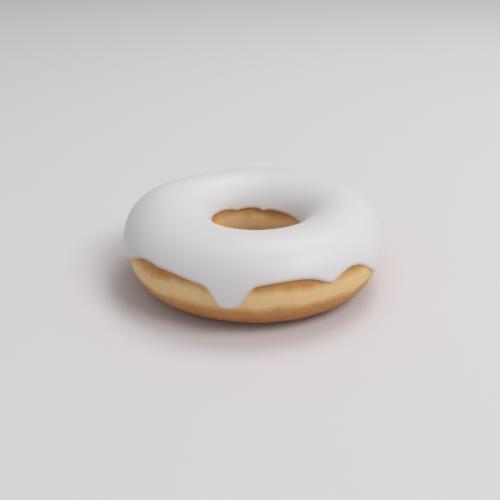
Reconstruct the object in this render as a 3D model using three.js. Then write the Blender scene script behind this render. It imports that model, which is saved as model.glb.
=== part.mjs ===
// An iced ring doughnut: a ring of fried dough with a soft layer of icing draped over its top.
// The icing ends above the dough's waist, runs down it in tongues outside and hangs in scallops in the hole.
// Millimetres, +Z up. The origin is the bottom centre of the doughnut's box, on the surface it stands on.
import * as THREE from "three";

// Driving dimensions, in millimetres
const DOUGH_ACROSS = 90; // the dough ring's outside diameter, unevenness apart
const SECTION_WIDE = 29.8; // the dough's section, from the hole to the outside
const SECTION_TALL = 27.4; // the same section, from the underside to the crown
const FOOT_PRESSED = 0.6; // how far the doughnut's own weight has flattened the underside
const ICING_THICK = 0.8; // the icing between its edges
const ICING_ROUND = 1.0; // the width over which the icing rounds off to its edge
const ICING_GAP = 0.3; // between the icing's underside and the dough
const ICING_CREPT = 0.5; // how far the layer slid towards -X while it was soft, which leaves it thicker there

// The dough ring bulges unevenly, outside and in the hole. Each bulge is a wave: how many there are in a
// turn, its height in mm, measured away from the hole's axis, and the azimuth of a crest in degrees.
const OUTSIDE_WAVES = [
  { waves: 1, height: 0.8, crest: 177 },
  { waves: 2, height: 0.7, crest: 59 },
  { waves: 3, height: 0.6, crest: 56 },
  { waves: 4, height: 0.45, crest: 72 },
  { waves: 5, height: 0.85, crest: 15 },
  { waves: 6, height: 0.5, crest: 30 },
];
const HOLE_WAVES = [
  { waves: 1, height: 0.65, crest: 79 },
  { waves: 2, height: 0.9, crest: 147 },
  { waves: 3, height: 0.8, crest: 18 },
];

// Heights of the icing's two edges above the dough's middle, in mm. Runs hang below that: azimuth of the
// middle, half width in degrees, length in mm, and how square the run's end is, from 1 for a cusp and 2 for
// a soft point.
const OUTER_EDGE = {
  height: 5.8,
  waves: [],
  runs: [
    { at: 22, half: 8, length: 3.2, square: 2.5 },
    { at: 54, half: 10, length: 5.2, square: 3.5 },
    { at: 87, half: 6, length: 2.0, square: 2 },
    { at: 119, half: 8, length: 5.0, square: 4.5 },
    { at: 154, half: 7, length: 2.4, square: 2 },
    { at: 194, half: 19.2, length: 5.1, square: 3.7 },
    { at: 229, half: 3.2, length: 0.2, square: 2 },
    { at: 256, half: 17, length: 2.3, square: 1.8 },
    { at: 260, half: 6.9, length: 5.9, square: 3.4 },
    { at: 300.5, half: 6.6, length: 2.8, square: 1.6 },
    { at: 340, half: 18, length: 9.0, square: 2.8 },
  ],
};
const INNER_EDGE = {
  height: 4.65,
  waves: [{ waves: 1, height: 0.35, crest: 120 }],
  runs: [
    { at: 16, half: 25, length: 0.8, square: 1.6 },
    { at: 80.5, half: 5.8, length: 0.7, square: 1.4 },
    { at: 116, half: 7.4, length: 1.05, square: 1.05 },
    { at: 183, half: 9, length: 1.0, square: 1.4 },
    { at: 226, half: 8, length: 1.2, square: 1.5 },
    { at: 268, half: 8, length: 0.9, square: 1.3 },
    { at: 309, half: 9, length: 1.1, square: 1.6 },
  ],
};

// Facets
const DOUGH_SLICES = 88; // slices round the ring
const DOUGH_SIDES = 28; // sides of the dough's section
const ICING_SLICES = 160;
const ICING_TOP_SIDES = 17; // from edge to edge over the top
const ICING_UNDER_SIDES = 11; // and back along the dough
const SHORTER_AT_EDGES = 0.7; // how much shorter the top sides are near the edges, from 0 for not at all to 1

const HALF_WIDE = SECTION_WIDE / 2;
const HALF_TALL = SECTION_TALL / 2;
const RING_RADIUS = DOUGH_ACROSS / 2 - HALF_WIDE;
const HALF_MEAN = (HALF_WIDE + HALF_TALL) / 2;
const FULL_TURN = 2 * Math.PI;

const radians = THREE.MathUtils.degToRad;
const lerp = THREE.MathUtils.lerp;

// The sum of a list of waves at an azimuth.
function wavesAt(azimuth, waves) {
  return waves.reduce((sum, w) => sum + w.height * Math.cos(w.waves * (azimuth - radians(w.crest))), 0);
}

// The turn goes round the section: 0 faces outwards, a quarter turn is the crown and a half turn faces the
// hole. The section's normal there says how far it points outwards and how far up.
function sectionNormal(turn) {
  return new THREE.Vector2(Math.cos(turn) / HALF_WIDE, Math.sin(turn) / HALF_TALL).normalize();
}

// A point on the ring, or lifted off it along the section's normal.
function ringPoint(azimuth, turn, lift = 0) {
  const normal = sectionNormal(turn);
  const outwards = (1 + Math.cos(turn)) / 2;
  const bulge = lerp(wavesAt(azimuth, HOLE_WAVES), wavesAt(azimuth, OUTSIDE_WAVES), outwards);
  const radius = RING_RADIUS + HALF_WIDE * Math.cos(turn) + bulge + lift * normal.x;
  const height = Math.max(HALF_TALL * Math.sin(turn), FOOT_PRESSED - HALF_TALL) + lift * normal.y;
  return new THREE.Vector3(radius * Math.cos(azimuth), radius * Math.sin(azimuth), height);
}

// The height of an edge of the icing at an azimuth.
function edgeHeight(azimuth, edge) {
  const hanging = edge.runs.map(({ at, half, length, square }) => {
    const away = THREE.MathUtils.euclideanModulo(azimuth - radians(at) + Math.PI, FULL_TURN) - Math.PI;
    return length * Math.exp(-Math.pow(Math.abs(away) / radians(half), square));
  });
  return edge.height + wavesAt(azimuth, edge.waves) - hanging.reduce((sum, h) => sum + h, 0);
}

// The turn of the section at which an edge lies.
function edgeTurn(azimuth, edge) {
  const turn = Math.asin(edgeHeight(azimuth, edge) / HALF_TALL);
  return edge === OUTER_EDGE ? turn : Math.PI - turn;
}

// How steeply an edge climbs along its way round the ring: 0 where it is level.
function edgeSlope(azimuth, edge) {
  const step = radians(0.5);
  const climb = (edgeTurn(azimuth + step, edge) - edgeTurn(azimuth - step, edge)) * HALF_MEAN;
  const radius = RING_RADIUS + HALF_WIDE * Math.cos(edgeTurn(azimuth, edge));
  return climb / (2 * step * radius);
}

// How far the icing's top stands off the dough: a quarter round at both edges, and full thickness between
// them. The distance to an edge is measured square to it, so that a run's sides are as round as its end.
function icingLift(azimuth, turn) {
  const distances = [OUTER_EDGE, INNER_EDGE].map((edge) => {
    const along = Math.abs(turn - edgeTurn(azimuth, edge)) * HALF_MEAN;
    return along / Math.hypot(1, edgeSlope(azimuth, edge));
  });
  const inside = Math.min(Math.min(...distances) / ICING_ROUND, 1);
  const thick = ICING_THICK - ICING_CREPT * sectionNormal(turn).x * Math.cos(azimuth);
  return ICING_GAP + thick * Math.sqrt(1 - (1 - inside) ** 2);
}

// A point of the icing's section: side 0 is its outer edge, the top sides lead over the crown to the inner
// edge, and the rest lead back along the dough. Top sides are shorter near the edges, where it rounds off.
function icingPoint(azimuth, side) {
  const outer = edgeTurn(azimuth, OUTER_EDGE);
  const inner = edgeTurn(azimuth, INNER_EDGE);
  if (side <= ICING_TOP_SIDES) {
    const share = side / ICING_TOP_SIDES;
    const eased = lerp(share, (1 - Math.cos(Math.PI * share)) / 2, SHORTER_AT_EDGES);
    const turn = lerp(outer, inner, eased);
    return ringPoint(azimuth, turn, icingLift(azimuth, turn));
  }
  const share = (side - ICING_TOP_SIDES) / ICING_UNDER_SIDES;
  return ringPoint(azimuth, lerp(inner, outer, share), ICING_GAP);
}

// A closed ring: a section of so many sides carried round so many slices, each point given by its azimuth
// and side. A four-sided facet is split along its shorter diagonal, which keeps steep edges smooth.
function ringGeometry(slices, sides, pointAt) {
  const points = [];
  for (let slice = 0; slice < slices; slice++) {
    for (let side = 0; side < sides; side++) {
      points.push(pointAt((slice / slices) * FULL_TURN, side));
    }
  }
  const triangles = [];
  for (let slice = 0; slice < slices; slice++) {
    const here = slice * sides;
    const ahead = ((slice + 1) % slices) * sides;
    for (let side = 0; side < sides; side++) {
      const next = (side + 1) % sides;
      const [a, b, c, d] = [here + side, ahead + side, ahead + next, here + next];
      if (points[a].distanceTo(points[c]) < points[b].distanceTo(points[d])) {
        triangles.push(a, b, c, a, c, d);
      } else {
        triangles.push(a, b, d, b, c, d);
      }
    }
  }
  const geometry = new THREE.BufferGeometry().setFromPoints(points);
  geometry.setIndex(triangles);
  geometry.computeVertexNormals();
  return geometry;
}

function makeDough() {
  const geometry = ringGeometry(DOUGH_SLICES, DOUGH_SIDES, (azimuth, side) =>
    ringPoint(azimuth, (side / DOUGH_SIDES) * FULL_TURN),
  );
  const crust = new THREE.MeshStandardMaterial({ color: 0xd9b078, roughness: 0.7, metalness: 0 });
  const dough = new THREE.Mesh(geometry, crust);
  dough.name = "dough";
  return dough;
}

function makeIcing() {
  const geometry = ringGeometry(ICING_SLICES, ICING_TOP_SIDES + ICING_UNDER_SIDES, icingPoint);
  const sugar = new THREE.MeshStandardMaterial({ color: 0xe2dfe2, roughness: 0.45, metalness: 0 });
  const icing = new THREE.Mesh(geometry, sugar);
  icing.name = "icing";
  return icing;
}

// The doughnut, moved so that its box stands on the origin.
function makeDoughnut() {
  const ring = new THREE.Group();
  ring.add(makeDough(), makeIcing());
  const box = new THREE.Box3().setFromObject(ring);
  const centre = box.getCenter(new THREE.Vector3());
  ring.position.set(-centre.x, -centre.y, -box.min.z);
  return new THREE.Group().add(ring);
}

export default makeDoughnut();
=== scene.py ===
# %% [markdown]
# # An iced ring doughnut
#
# This lesson dresses a ring doughnut that stands on a pale floor. Two pieces make it: a ring of fried
# dough, and a soft layer of icing that was poured over the top and ran a little way down the sides.
# The construction model holds both as plain faceted solids. It is loaded first, because it settles the
# size and the place of everything here: the two pieces made below stand exactly where its solids are.

# %% Load the construction model
import math

import bpy
import numpy as np
from mathutils import Color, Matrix, Vector, kdtree, noise


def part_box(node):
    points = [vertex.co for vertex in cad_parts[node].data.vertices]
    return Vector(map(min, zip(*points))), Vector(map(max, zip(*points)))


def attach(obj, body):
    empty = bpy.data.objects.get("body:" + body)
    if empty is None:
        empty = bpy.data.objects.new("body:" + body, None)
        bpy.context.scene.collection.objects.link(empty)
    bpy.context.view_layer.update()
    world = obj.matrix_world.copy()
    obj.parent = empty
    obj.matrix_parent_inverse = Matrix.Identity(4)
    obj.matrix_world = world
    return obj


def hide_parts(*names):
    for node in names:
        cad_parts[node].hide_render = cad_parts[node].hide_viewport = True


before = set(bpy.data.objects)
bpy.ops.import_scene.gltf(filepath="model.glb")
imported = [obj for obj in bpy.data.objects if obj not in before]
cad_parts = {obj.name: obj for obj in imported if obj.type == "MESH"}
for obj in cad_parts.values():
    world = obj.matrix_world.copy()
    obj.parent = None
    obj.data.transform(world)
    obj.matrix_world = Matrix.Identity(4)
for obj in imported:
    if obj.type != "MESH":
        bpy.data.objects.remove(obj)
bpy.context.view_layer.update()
MM = 0.001  # Blender keeps every size in metres


# %% [markdown]
# ## The form of the ring
#
# A real ring is cut from a sheet of risen dough. It swells in the hot fat, a little more in one place
# than in another, so neither its outside nor its hole is a true circle, and its section is an oval that
# its own weight has pressed flat underneath. A torus with a few sculpted strokes would look right, but
# the icing has to follow the very same surface. So the ring is written as a formula of two angles: the
# azimuth goes round the ring, and the turn goes round its section. A turn of 0 faces outwards, a quarter
# turn is the crown, and a half turn faces the hole.

# %% Sizes of the ring
RING_RADIUS = 30.1 * MM  # from the hole's axis to the middle of the section
HALF_WIDE = 14.9 * MM
HALF_TALL = 13.7 * MM
FOOT_PRESSED = 0.6 * MM  # how far the underside is pressed flat
WAIST = HALF_TALL - FOOT_PRESSED  # the height of the widest place above the floor
FOOT_SOFTNESS = 0.12 * MM  # how softly the flat turns into the round
OUTSIDE_WAVES = [  # waves in a turn, height in mm, azimuth of a crest in degrees
    (1, 0.8, 177),
    (2, 0.7, 59),
    (3, 0.6, 56),
    (4, 0.45, 72),
    (5, 0.85, 15),
    (6, 0.5, 30),
]
HOLE_WAVES = [(1, 0.65, 79), (2, 0.9, 147), (3, 0.8, 18)]
print("across the hole:", round(2 * (RING_RADIUS - HALF_WIDE) / MM, 1), "mm")

# %% [markdown]
# ## Points on the ring
#
# At every turn the oval has a place and a direction that points straight out of the skin. The direction
# is what a layer on top needs: it lies as deep as it is lifted off along it. The swelling is one thing
# outside and another in the hole, and passes from one to the other over the crown, because a stretched
# copy of the outside would never fit the hole. The foot could be cut off flat. A soft limit on the
# height leaves a rounded border instead, as soft dough does.


# %% Formula of the ring
def waves_at(azimuth, waves):
    """The sum of some waves round the ring, in metres."""
    total = np.zeros_like(azimuth)
    for count, height, crest in waves:
        total = total + height * MM * np.cos(count * (azimuth - math.radians(crest)))
    return total


def section_normal(turn):
    """The outward direction of the oval section: how far across, and how far up."""
    across, up = np.cos(turn) / HALF_WIDE, np.sin(turn) / HALF_TALL
    length = np.hypot(across, up)
    return across / length, up / length


def ring_points(azimuth, turn, lift=0.0):
    """Points on the dough, or lifted off it, with the hole's axis and the section's middle at the origin."""
    across, up = section_normal(turn)
    outwards = (1 + np.cos(turn)) / 2  # 1 on the outside, 0 in the hole
    bulge = outwards * waves_at(azimuth, OUTSIDE_WAVES) + (1 - outwards) * waves_at(azimuth, HOLE_WAVES)
    radius = RING_RADIUS + HALF_WIDE * np.cos(turn) + bulge + lift * across
    above_foot = HALF_TALL * np.sin(turn) + WAIST  # below 0 where the oval would be under the floor
    pressed = FOOT_SOFTNESS * np.logaddexp(0, above_foot / FOOT_SOFTNESS) - WAIST
    return np.stack([radius * np.cos(azimuth), radius * np.sin(azimuth), pressed + lift * up], axis=-1)


def ring_normals(azimuth, turn):
    """The direction that points straight out of the dough, near enough: the swelling is gentle."""
    across, up = section_normal(turn)
    return np.stack([across * np.cos(azimuth), across * np.sin(azimuth), up], axis=-1)


FRONT = math.radians(270)  # the azimuth that faces the camera
waist_in_front = ring_points(np.array([FRONT]), np.array([0.0]))[0]
print("in front, the waist is", round(-waist_in_front[1] / MM, 1), "mm from the hole's axis")

# %% [markdown]
# ## A closed ring of faces
#
# Both pieces are the same kind of mesh: a section carried round the ring until it meets itself. A
# Bezier circle swept by another would make one too, but its points couldn't be placed one by one. A grid
# of points with its first row and column joined to its last is just as short, and is closed by the way
# it is made, so the mesh has no seam and no open edge.


# %% Ring meshes
def ring_piece(name, points):
    """A piece from a grid of points: slices round the ring, and sides round the section."""
    slices, sides = points.shape[:2]
    here = np.arange(slices * sides).reshape(slices, sides)
    ahead = np.roll(here, -1, axis=0)
    corners = [here, ahead, np.roll(ahead, -1, axis=1), np.roll(here, -1, axis=1)]
    mesh = bpy.data.meshes.new(name)
    mesh.from_pydata(points.reshape(-1, 3).tolist(), [], np.stack(corners, axis=-1).reshape(-1, 4).tolist())
    mesh.shade_smooth()
    piece = bpy.data.objects.new(name, mesh)
    bpy.context.scene.collection.objects.link(piece)
    print(name, "has", len(mesh.polygons), "faces")
    return piece


def note_on_points(piece, title, values):
    """Keeps one number for each point of a piece, for its finish to read."""
    note = piece.data.attributes.new(title, "FLOAT", "POINT")
    note.data.foreach_set("value", np.asarray(values, np.float32).ravel())


# %% [markdown]
# ## Random hills
#
# Nothing baked or poured is quite smooth. Both pieces get their faint unevenness from random hills, which
# are the same each time the lesson runs. A displace modifier with a cloud texture makes such hills too.
# Here they are read point by point, because the relief has to fade out near the foot and near the edges
# of the icing.

# %% Hills
SEED_STEP = Vector((17.3, 5.1, 29.7))  # from one seed's place in the endless noise to the next one's


def cloud(points, size, seed):
    """Soft random hills from -1 to 1, about so wide. Another seed gives other hills."""
    flat = points.reshape(-1, 3) / size
    hills = [noise.noise(Vector(point) + SEED_STEP * seed) for point in flat]
    return np.array(hills).reshape(points.shape[:-1])


DIMPLE_SEED, PUCKER_SEED, CREEP_SEED = 1, 2, 3  # two kinds of hills on the dough, and one on the icing

# %% [markdown]
# ## The dough
#
# Fried dough looks smooth from a step away. Close to, its skin is faintly dimpled, because it set while
# gas was still leaving it. Dimples of a few millimetres are real relief here, so that they catch the
# light at the outline too. What is finer is left to the finish.
#
# A bake of sculpted detail would carry the dimples too, but the skin's relief has no pattern worth drawing
# by hand: two sizes of random hills, laid along the ring's normals, make it in a few lines. The relief
# fades out towards the foot, which has to stay flat.

# %% The dough piece
DOUGH_SLICES, DOUGH_SIDES = 600, 160  # faces round the ring, and round its section
DIMPLE_WIDE, DIMPLE_DEEP = 6 * MM, 0.10 * MM
PUCKER_WIDE, PUCKER_DEEP = 2.6 * MM, 0.035 * MM
FULL_RELIEF_FROM = 1 * MM  # the height above the floor from which the relief has its full depth


def make_dough():
    """The ring of fried dough."""
    azimuth, turn = np.meshgrid(
        np.arange(DOUGH_SLICES) * math.tau / DOUGH_SLICES,
        np.arange(DOUGH_SIDES) * math.tau / DOUGH_SIDES,
        indexing="ij",
    )
    smooth = ring_points(azimuth, turn)
    dimples = DIMPLE_DEEP * cloud(smooth, DIMPLE_WIDE, DIMPLE_SEED)
    puckers = PUCKER_DEEP * cloud(smooth, PUCKER_WIDE, PUCKER_SEED)
    above_floor = smooth[..., 2] + WAIST
    relief = (dimples + puckers) * np.clip(above_floor / FULL_RELIEF_FROM, 0, 1)
    points = smooth + relief[..., None] * ring_normals(azimuth, turn)
    return ring_piece("dough_ring", points)


dough = make_dough()

# %% [markdown]
# ## The icing's two edges
#
# The icing was spread on the crown and crept down both sides until it set. Its outer edge lies a few
# millimetres above the waist, and hangs below that in a few broad tongues. In the hole it stops at much
# the same height, in shallow scallops. Each edge is a height round the ring: a mean, a wave where it lies
# askew, and a list of runs. A run is a bell-shaped dip whose end is softer or squarer, so that one rule
# gives the narrow tongue in front, the wide one on the right and the cusps between two scallops.

# %% Heights of the edges
OUTER_EDGE = {
    "side": 1,
    "height": 5.8,
    "waves": [],
    "runs": [  # azimuth of the middle, half width in degrees, length in mm, how square the end is
        (22, 8, 3.2, 2.5),
        (54, 10, 5.2, 3.5),
        (87, 6, 2.0, 2),
        (119, 8, 5.0, 4.5),
        (154, 7, 2.4, 2),
        (194, 19.2, 5.1, 3.7),
        (229, 3.2, 0.2, 2),
        (256, 17, 2.3, 1.8),
        (260, 6.9, 5.9, 3.4),
        (300.5, 6.6, 2.8, 1.6),
        (340, 18, 9.0, 2.8),
    ],
}
INNER_EDGE = {
    "side": -1,
    "height": 4.65,
    "waves": [(1, 0.35, 120)],
    "runs": [
        (16, 25, 0.8, 1.6),
        (80.5, 5.8, 0.7, 1.4),
        (116, 7.4, 1.05, 1.05),
        (183, 9, 1.0, 1.4),
        (226, 8, 1.2, 1.5),
        (268, 8, 0.9, 1.3),
        (309, 9, 1.1, 1.6),
    ],
}
EDGE_STEPS = 3840  # how many points an edge has when it is measured


def edge_turns(azimuth, edge):
    """The turn of the section at which an edge lies, for each azimuth."""
    height = edge["height"] * MM + waves_at(azimuth, edge["waves"])
    for middle, half, length, square in edge["runs"]:
        away = np.abs((azimuth - math.radians(middle) + math.pi) % math.tau - math.pi)
        height = height - length * MM * np.exp(-((away / math.radians(half)) ** square))
    turn = np.arcsin(height / HALF_TALL)
    return turn if edge["side"] > 0 else math.pi - turn


for title, edge in (("outer", OUTER_EDGE), ("inner", INNER_EDGE)):
    heights = np.sin(edge_turns(np.linspace(0, math.tau, EDGE_STEPS), edge)) * HALF_TALL / MM
    print(title, "edge is", heights.min().round(1), "to", heights.max().round(1), "mm above the waist")

# %% [markdown]
# ## The depth of the icing, and its bead
#
# Icing that sets while it creeps ends in a rounded bead, a little undercut where it meets the dough.
# That bead is what makes it read as a thick layer and not as paint, so it is modelled: from the widest
# place of the bead the top rounds up to full depth, and below it the bead tucks in to the dough.
#
# The layer also crept a little to one side before it set. It is deepest on the outside there, and on the
# hole's wall across from it, and thinnest where the dough faces the other way. A solidify modifier would
# give one depth everywhere, so the depth is a formula too.

# %% Depth and bead
ICING_DEEP = 1.1 * MM  # on average
ICING_CREPT = 0.5 * MM  # how far the layer slid towards -X while it was soft
BEAD_BELLY = 0.35  # how high up the bead is widest, as a share of the icing's depth
BEAD_TUCK = 0.25  # how far it tucks in below its belly, in depths
TUCK_SIDES = 5  # faces in the tuck
SUNK = 0.4 * MM  # how far the underside reaches into the dough, so that no gap shows


def icing_depth(azimuth, turn):
    """How deep the icing is away from its edges: deeper where the dough faces the side it crept to."""
    return ICING_DEEP - ICING_CREPT * section_normal(turn)[0] * np.cos(azimuth)


def edge_lines(azimuth, edge):
    """Points along an edge on the dough, with the direction out of the dough and the one into the icing."""
    turn = edge_turns(azimuth, edge)
    points, outward = ring_points(azimuth, turn), ring_normals(azimuth, turn)
    along = np.roll(points, -1, axis=0) - np.roll(points, 1, axis=0)
    inward = edge["side"] * np.cross(outward, along)
    return points, outward, inward / np.linalg.norm(inward, axis=-1, keepdims=True)


def tuck(azimuth, edge):
    """The lower half of the bead along an edge, from its belly in to the dough, one side for each step."""
    points, outward, inward = edge_lines(azimuth, edge)
    depth = icing_depth(azimuth, edge_turns(azimuth, edge))[:, None]
    steps = np.linspace(0, math.pi / 2, TUCK_SIDES + 1)[1:, None, None]
    lift = BEAD_BELLY * depth - (BEAD_BELLY * depth + SUNK) * np.sin(steps)
    return points + lift * outward + BEAD_TUCK * depth * (1 - np.cos(steps)) * inward


least, most = icing_depth(np.array([0, math.pi]), 0.0) / MM
print("the icing is", round(least, 1), "to", round(most, 1), "mm deep")

# %% [markdown]
# ## The distance to an edge
#
# How far the icing has rounded up at a point comes from the true distance to the nearest edge. A distance
# measured straight down would leave the flanks of a tongue sharper than its end. Comparing every point of
# the icing with every point of the edges would take minutes. A search tree, which sorts the edge points by
# where they are, finds the nearest one at once.


# %% Distance to the edges
def distance_to_edges(points):
    """How far each point is from the nearer edge of the icing."""
    fine = np.linspace(0, math.tau, EDGE_STEPS, endpoint=False)
    lines = np.concatenate([edge_lines(fine, edge)[0] for edge in (OUTER_EDGE, INNER_EDGE)])
    tree = kdtree.KDTree(len(lines))
    for number, point in enumerate(lines):
        tree.insert(point, number)
    tree.balance()
    return np.array([tree.find(p)[2] for p in points.reshape(-1, 3)]).reshape(points.shape[:-1])


crown = ring_points(np.array([0.0]), np.array([math.pi / 2]))
print("the crown is", round(distance_to_edges(crown)[0] / MM, 1), "mm from the nearest edge")

# %% [markdown]
# ## The icing
#
# The icing is a closed ring like the dough: over the top from edge to edge, tucked in, and back along the
# dough, a little way inside it. The dough's own faces could be copied and thickened for it, but their
# rows don't follow the edge, which would then run in steps. So each slice is laid from edge to edge, with
# its sides closer together where the bead rounds off. The top keeps the faint unevenness of something
# poured. Each point's distance to the edge is kept on the mesh, since the finish needs it too.

# %% The icing piece
ICING_SLICES, TOP_SIDES, UNDER_SIDES = 960, 80, 8  # faces round the ring, over the top, and back under it
CROWDED = 0.6  # how much closer together the sides lie near the edges, from 0 for not at all to 1
BEAD_WIDE = 0.45  # the width over which the icing rounds up to its full depth, in depths
BEAD_SQUARE = 2.6  # how square it rounds up: 2 is a true quarter round
CREEP_WIDE, CREEP_DEEP = 9 * MM, 0.07 * MM  # faint unevenness of the poured surface


def make_icing():
    """The layer of icing."""
    azimuth = np.arange(ICING_SLICES) * math.tau / ICING_SLICES
    outer, inner = edge_turns(azimuth, OUTER_EDGE), edge_turns(azimuth, INNER_EDGE)
    share = np.linspace(0, 1, TOP_SIDES)[:, None]
    eased = (1 - CROWDED) * share + CROWDED * (1 - np.cos(math.pi * share)) / 2
    top_turn = outer + (inner - outer) * eased
    on_dough = ring_points(azimuth, top_turn)
    depth = icing_depth(azimuth, top_turn)
    distance = distance_to_edges(on_dough)
    inside = np.clip(distance / (BEAD_WIDE * depth), 0, 1)
    rounded = (1 - (1 - inside) ** BEAD_SQUARE) ** (1 / BEAD_SQUARE)
    creep = CREEP_DEEP * cloud(on_dough, CREEP_WIDE, CREEP_SEED) * inside
    lift = depth * (BEAD_BELLY + (1 - BEAD_BELLY) * rounded) + creep
    top = ring_points(azimuth, top_turn, lift)
    back = inner + (outer - inner) * np.linspace(0, 1, UNDER_SIDES + 2)[1:-1, None]
    under = ring_points(azimuth, back, -SUNK)
    sides = np.concatenate([top, tuck(azimuth, INNER_EDGE), under, tuck(azimuth, OUTER_EDGE)[::-1]])
    piece = ring_piece("icing_layer", sides.transpose(1, 0, 2))
    from_edge = np.zeros(sides.shape[:2])
    from_edge[:TOP_SIDES] = distance
    note_on_points(piece, "from_edge", from_edge.T)
    return piece


icing = make_icing()

# %% [markdown]
# ## Set on the frame
#
# So far the hole's axis is the origin. The construction model stands on the middle of its box instead,
# which the uneven swelling moves a little off that axis. The shift is read from the model's own boxes,
# and goes into the meshes, so that each object keeps its origin where the frame has it. Each piece then
# rides on the body and takes the place of its solid.


# %% Placing
def points_of(piece):
    """The points of a piece as rows of numbers."""
    flat = np.empty(3 * len(piece.data.vertices), np.float32)
    piece.data.vertices.foreach_get("co", flat)
    return flat.reshape(-1, 3)


icing_low, icing_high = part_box("icing")
made_low, made_high = points_of(icing).min(axis=0), points_of(icing).max(axis=0)
shift = (icing_low + icing_high) / 2 - Vector((made_low + made_high) / 2)
shift.z = WAIST
for piece, node in ((dough, "dough"), (icing, "icing")):
    piece.data.vertices.foreach_set("co", (points_of(piece) + np.array(shift, np.float32)).ravel())
    piece.data.update()
    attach(piece, "root")
    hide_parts(node)
print("the hole's axis stands at", [round(v / MM, 2) for v in shift[:2]], "mm")

# %% [markdown]
# ## Writing a finish as sums
#
# A finish is a tree of small nodes, and most of them only add or multiply. Wiring those by hand hides
# the thought behind them. So one small class wraps a node's output and lends it Python's arithmetic:
# an expression such as 1 - mask adds its Math nodes by itself. Every other node comes from one method,
# which takes the node's type, its settings, and the numbers or wires of its sockets.


# %% A wire that does sums
class Wire:
    """A value on its way through a finish."""

    def __init__(self, tree, socket=None):
        self.tree = tree
        self.socket = socket

    def node(self, kind, settings=None, sockets=None, output=0):
        """Adds a node, sets it up, feeds its sockets and gives the wire of one of its outputs."""
        made = self.tree.nodes.new(kind)
        for title, value in (settings or {}).items():
            setattr(made, title, value)
        for title, value in (sockets or {}).items():
            if isinstance(value, Wire):
                self.tree.links.new(value.socket, made.inputs[title])
            else:
                made.inputs[title].default_value = value
        return Wire(self.tree, made.outputs[output])

    def sum(self, operation, *values):
        """A Math node on wires and numbers."""
        return self.node("ShaderNodeMath", {"operation": operation}, dict(enumerate(values)))

    def __add__(self, other):
        return self.sum("ADD", self, other)

    def __sub__(self, other):
        return self.sum("SUBTRACT", self, other)

    def __rsub__(self, other):
        return self.sum("SUBTRACT", other, self)

    def __mul__(self, other):
        return self.sum("MULTIPLY", self, other)

    __radd__ = __add__
    __rmul__ = __mul__

    def away_from(self, other):
        """How far the value is from another, above or below."""
        return self.sum("ABSOLUTE", self - other)

    def between(self, low, high):
        """0 below the low value, 1 above the high one, and smooth between them."""
        limits = {"Value": self, "From Min": low, "From Max": high}
        return self.node("ShaderNodeMapRange", {"interpolation_type": "SMOOTHSTEP"}, limits)


# %% [markdown]
# ## Starting a finish
#
# A new material already holds one surface shader, whose sockets are all that a finish has to feed. The
# first helper hands over those sockets, with a bare wire to begin expressions from. The second leads the
# end of an expression into a socket. Several shaders could be mixed instead, but fried dough and sugar
# need nothing that this one hasn't got.


# %% Materials
def new_finish(title):
    """A new material: the wire that starts its expressions, and its surface shader's sockets."""
    material = bpy.data.materials.new(title)
    material.use_nodes = True
    surface = material.node_tree.nodes["Principled BSDF"]
    return material, Wire(material.node_tree), surface.inputs


def feed(socket, wire):
    """Leads a wire into a socket of the surface shader."""
    wire.tree.links.new(wire.socket, socket)


# %% [markdown]
# ## Colours
#
# A colour is easiest to choose on a screen, where it is three numbers up to 255. They aren't in
# step with the light itself, which is what Blender reckons with, so each colour is turned into light
# first. Two colours are blended by a Mix node, because a Math node would turn them grey.

# %% Shades and blends
SCREEN_WHITE = 255
MIX_AMOUNT, MIX_FIRST, MIX_SECOND, MIX_RESULT = 0, 6, 7, 2  # the sockets that a Mix node uses for colours


def shade(red, green, blue):
    """A colour as read off a screen, turned into the light values that Blender works in."""
    on_screen = Color([value / SCREEN_WHITE for value in (red, green, blue)])
    return [*on_screen.from_srgb_to_scene_linear(), 1.0]


def blend(amount, first, second):
    """The first colour where the amount is 0, and the second where it is 1."""
    sockets = {MIX_AMOUNT: amount, MIX_FIRST: first, MIX_SECOND: second}
    return amount.node("ShaderNodeMix", {"data_type": "RGBA"}, sockets, MIX_RESULT)


half_white = shade(SCREEN_WHITE / 2, SCREEN_WHITE / 2, SCREEN_WHITE / 2)
print("half of white on a screen is", round(half_white[0], 2), "of its light")

# %% [markdown]
# ## Noise and fine relief
#
# What is finer than the mesh comes from noise, as grain goes through wood: it is read at a point's own
# place in the piece, so it has no seam. A picture wrapped round the ring would have one, and it would
# stretch on the outside. Where the grain is felt as well as seen, a bump tilts the surface by it.

# %% Noise and bump
PLAIN, CLOUDY, RAGGED = 2, 3, 5  # how many finer noises lie over the hills of a noise
NOISE_MIDDLE = 0.5  # what a noise node gives on average


def soft_noise(wire, size, detail):
    """Noise of about 0 on average, with its hills about so many metres wide."""
    place = wire.node("ShaderNodeTexCoord", output="Object")
    sockets = {"Vector": place, "Scale": 1 / size, "Detail": detail}
    return wire.node("ShaderNodeTexNoise", None, sockets) - NOISE_MIDDLE


def bump(relief, height, strength):
    """The normal of a surface with a relief too fine for the mesh, so many metres high."""
    return relief.node("ShaderNodeBump", None, {"Height": relief, "Distance": height, "Strength": strength})


# %% [markdown]
# ## The finish of the fried dough
#
# The ring floats half sunk in the fat, first on one side and then on the other. So its top and underside
# brown, and a band round the waist, outside and in the hole, stays pale. How brown a point is follows from
# its height, with a border that wavers by a millimetre or so, and darker blotches where the skin blistered
# a little. All of it is worked out from the place of a point, so it runs round the ring without a seam.
# The crust is matt with a trace of fat. Its grain is finer than the mesh, so a bump carries it.

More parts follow.
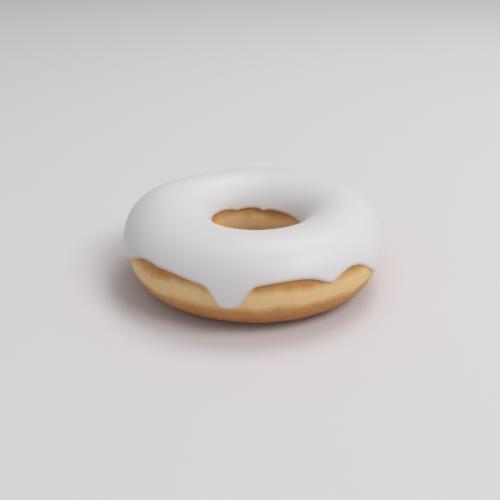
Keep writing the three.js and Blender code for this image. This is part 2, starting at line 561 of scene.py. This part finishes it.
# %% Fried crust
CRUST_PALE = shade(242, 206, 148)
CRUST_GOLD = shade(208, 146, 80)
CRUST_BROWN = shade(170, 106, 52)
BAND_HALF = 3.0 * MM  # half the height of the pale band
BAND_BORDER = 3.6 * MM  # the width of its soft border
BAND_WAVER, WAVER_WIDE = 4.5 * MM, 10 * MM  # how far that border strays, and over what length
BROWNEST = 13 * MM  # the height over the waist, or under it, where the crust is at its brownest
BLOTCH_WIDE = 2.6 * MM
BLOTCH_ON_GOLD, BLOTCH_ON_PALE = 1.0, 0.35  # how strong the blotches are
GRAIN_WIDE, GRAIN_SHARE = 0.6 * MM, 0.4  # the fine grain, and its share of the relief
GRAIN_ROUGH = 0.2  # how far the grain moves the roughness
CRUST_RELIEF, CRUST_RELIEF_STRENGTH = 0.14 * MM, 0.8
CRUST_ROUGH, CRUST_FATTY = 0.72, 0.16  # the pale band's roughness, and how much smoother the browned skin is


def fried_crust():
    """Matt and golden, with a pale band round the waist."""
    material, wire, surface = new_finish("fried_crust")
    place = wire.node("ShaderNodeTexCoord", output="Object")
    height = wire.node("ShaderNodeSeparateXYZ", None, {"Vector": place}, output="Z")
    blotches = soft_noise(wire, BLOTCH_WIDE, RAGGED)
    grain = soft_noise(wire, GRAIN_WIDE, CLOUDY)
    from_waist = (height + soft_noise(wire, WAVER_WIDE, CLOUDY) * BAND_WAVER).away_from(WAIST)
    golden = from_waist.between(BAND_HALF - BAND_BORDER / 2, BAND_HALF + BAND_BORDER / 2)
    browned = from_waist.between(BAND_HALF, BROWNEST)
    crust = blend(browned + blotches * BLOTCH_ON_GOLD, CRUST_GOLD, CRUST_BROWN)
    feed(surface["Base Color"], blend(golden + blotches * BLOTCH_ON_PALE, CRUST_PALE, crust))
    feed(surface["Roughness"], CRUST_ROUGH - golden * CRUST_FATTY + grain * GRAIN_ROUGH)
    relief = blotches * (1 - GRAIN_SHARE) + grain * GRAIN_SHARE
    feed(surface["Normal"], bump(relief, CRUST_RELIEF, CRUST_RELIEF_STRENGTH))
    print(material.name, "has", len(material.node_tree.nodes), "nodes")
    return material


dough.data.materials.append(fried_crust())

# %% [markdown]
# ## The finish of the icing
#
# Set sugar icing is an even off-white with a soft, satin surface and no hard highlight. Light goes a
# little way into it, which keeps its shadows from looking like plaster. It thins out over the last
# millimetre before its edge, where the dough's warmth shows through it. That warmer tone is also
# darker than the dough's warmth alone would make it: painted shade, standing in for the shade on the
# bead's rounded edge. The distance to the edge was kept on the mesh for that.

# %% Sugar icing
ICING_WHITE = shade(232, 229, 231)
# the dough's warmth through thin icing, darkened as painted shade of the bead's rounded edge
ICING_THIN_AND_SHADED = shade(213, 198, 176)
THIN_TO, FULL_FROM = 0.2 * MM, 1.3 * MM  # how far from the edge it is still thin, and at its full depth
THIN_AND_SHADE_STRENGTH = 0.85  # how much of that warm colour with its painted shade it then has
HAZE_WIDE, HAZE_STRENGTH = 8 * MM, 0.12  # faint clouds in colour and gloss
ICING_ROUGH = 0.46
SUGAR_WIDE, SUGAR_SHARE = 0.5 * MM, 0.3  # the fine grain of the sugar, and its share of the relief
ICING_RELIEF, ICING_RELIEF_STRENGTH = 0.05 * MM, 0.5
GLOW_SHARE, GLOW_REACH = 0.25, 0.7 * MM  # how much light goes into the sugar, and how far
GLOW_COLOURS = (1.0, 0.86, 0.71)  # red, green and blue, as shares of that reach


def sugar_icing():
    """Smooth off-white, satin, warmer where it is thin, and darker at its edge with painted shade."""
    material, wire, surface = new_finish("sugar_icing")
    from_edge = wire.node("ShaderNodeAttribute", {"attribute_name": "from_edge"}, output="Fac")
    haze = soft_noise(wire, HAZE_WIDE, CLOUDY)
    # near the edge: the dough's warmth through the thin icing, and painted shade on the bead's rounded edge
    thin_and_shaded = (1 - from_edge.between(THIN_TO, FULL_FROM)) * THIN_AND_SHADE_STRENGTH
    feed(surface["Base Color"], blend(thin_and_shaded + haze * HAZE_STRENGTH, ICING_WHITE, ICING_THIN_AND_SHADED))
    feed(surface["Roughness"], ICING_ROUGH + haze * HAZE_STRENGTH)
    relief = haze * (1 - SUGAR_SHARE) + soft_noise(wire, SUGAR_WIDE, PLAIN) * SUGAR_SHARE
    feed(surface["Normal"], bump(relief, ICING_RELIEF, ICING_RELIEF_STRENGTH))
    surface["Subsurface Weight"].default_value = GLOW_SHARE
    surface["Subsurface Radius"].default_value = GLOW_COLOURS
    surface["Subsurface Scale"].default_value = GLOW_REACH
    print(material.name, "has", len(material.node_tree.nodes), "nodes")
    return material


icing.data.materials.append(sugar_icing())

# %% [markdown]
# ## The camera
#
# The doughnut is seen from about 25 degrees above, through a 50 mm lens, a quarter of a metre away. Such
# a short distance makes the near side look larger than the far side, as the photograph shows it. The
# camera could be turned by hand until the picture fits. Here it is placed on the line of sight to the
# ring's middle, and aimed at a point a little below it and to its left, because the doughnut sits
# slightly above the middle of the picture and to its right.

# %% Camera
SIGHT_TILT = math.radians(24.6)
SIGHT_LENGTH = 245.4 * MM
RING_MIDDLE = shift.copy()
AIM_BELOW, AIM_LEFT = 4.21 * MM, 2.4 * MM  # measured square to the line of sight
LENS, SENSOR = 50, 36  # in millimetres, as a lens is named
NEAREST, FARTHEST = 0.01, 20  # what the camera sees, in metres

towards_camera = Vector((0, -math.cos(SIGHT_TILT), math.sin(SIGHT_TILT)))
up_in_picture = Vector((0, math.sin(SIGHT_TILT), math.cos(SIGHT_TILT)))
camera = bpy.data.objects.new("camera", bpy.data.cameras.new("camera"))
camera.data.lens, camera.data.sensor_width = LENS, SENSOR
camera.location = RING_MIDDLE + towards_camera * SIGHT_LENGTH
aim = RING_MIDDLE - up_in_picture * AIM_BELOW - Vector((AIM_LEFT, 0, 0))
camera.rotation_euler = (aim - camera.location).to_track_quat("-Z", "Y").to_euler()
camera.data.clip_start, camera.data.clip_end = NEAREST, FARTHEST
bpy.context.scene.collection.objects.link(camera)
bpy.context.scene.camera = camera
print("the camera stands", round(camera.location.z / MM), "mm above the floor")

# %% [markdown]
# ## The floor
#
# The doughnut stands on a pale and plain studio floor with no edge in sight. A curved backdrop would do
# the same in a studio. From 25 degrees above, one flat sheet that is large enough fills the picture up
# to its top edge. The lamps' light falls off over it by itself, so that the far floor turns a little
# darker.

# %% Floor
FLOOR_SIDE = 8.0  # in metres
FLOOR_GREY = shade(231, 228, 231)
FLOOR_ROUGH = 0.9


def pale_floor():
    """A plain matt studio floor."""
    half = FLOOR_SIDE / 2
    mesh = bpy.data.meshes.new("floor")
    corners = [(-half, -half, 0), (half, -half, 0), (half, half, 0), (-half, half, 0)]
    mesh.from_pydata(corners, [], [range(len(corners))])
    floor = bpy.data.objects.new("floor", mesh)
    bpy.context.scene.collection.objects.link(floor)
    material, _, surface = new_finish("studio_floor")
    surface["Base Color"].default_value = FLOOR_GREY
    surface["Roughness"].default_value = FLOOR_ROUGH
    floor.data.materials.append(material)
    print("the floor is", FLOOR_SIDE, "m wide")


pale_floor()

# %% [markdown]
# ## The light
#
# The light is that of a bright studio, with two large soft lamps. One stands at the front right and
# lights the crown and the right side. The other stands behind on the right, higher up, and rims the far
# side. Between them they lay a soft shadow to the left. A single sun would give that shadow a hard edge,
# and a small lamp would leave a hard highlight on the icing, so each lamp is a square of more than half a
# metre.

# %% Lights
LAMP_AWAY, LAMP_SIDE = 1.3, 0.6  # in metres
LAMPS = [  # degrees round from the front, with 90 on the right, degrees up, and watts
    ("side_lamp", 60, 50, 6.4),
    ("back_lamp", 150, 65, 4.1),
]


def soft_lamp(title, azimuth, elevation, power):
    """A square lamp that looks at the doughnut."""
    lamp = bpy.data.objects.new(title, bpy.data.lights.new(title, "AREA"))
    lamp.data.shape, lamp.data.size, lamp.data.energy = "SQUARE", LAMP_SIDE, power
    turn, rise = math.radians(azimuth), math.radians(elevation)
    towards = Vector((math.sin(turn) * math.cos(rise), -math.cos(turn) * math.cos(rise), math.sin(rise)))
    lamp.location = RING_MIDDLE + towards * LAMP_AWAY
    lamp.rotation_euler = towards.to_track_quat("Z", "Y").to_euler()
    bpy.context.scene.collection.objects.link(lamp)
    print(title, "stands", round(lamp.location.z, 2), "m above the floor")


for lamp_settings in LAMPS:
    soft_lamp(*lamp_settings)

# %% [markdown]
# ## The surroundings
#
# In a pale studio some light comes from all sides, off the walls and the ceiling, and fills the shadows.
# A picture of a studio could give it, with windows and lamps to mirror. Satin icing mirrors next to
# nothing, so an even white does as well. The view transform Standard leaves the picture's tones as they
# are: the curve that Blender starts with would turn the white icing grey.

# %% Surroundings
SURROUNDINGS = 0.39  # the strength of the light from all sides
WHITE = (1, 1, 1, 1)

world = bpy.data.worlds.new("studio")
world.use_nodes = True
surroundings = world.node_tree.nodes["Background"].inputs
surroundings["Color"].default_value = WHITE
surroundings["Strength"].default_value = SURROUNDINGS
bpy.context.scene.world = world
bpy.context.scene.view_settings.view_transform = "Standard"
print("light from all sides:", SURROUNDINGS)
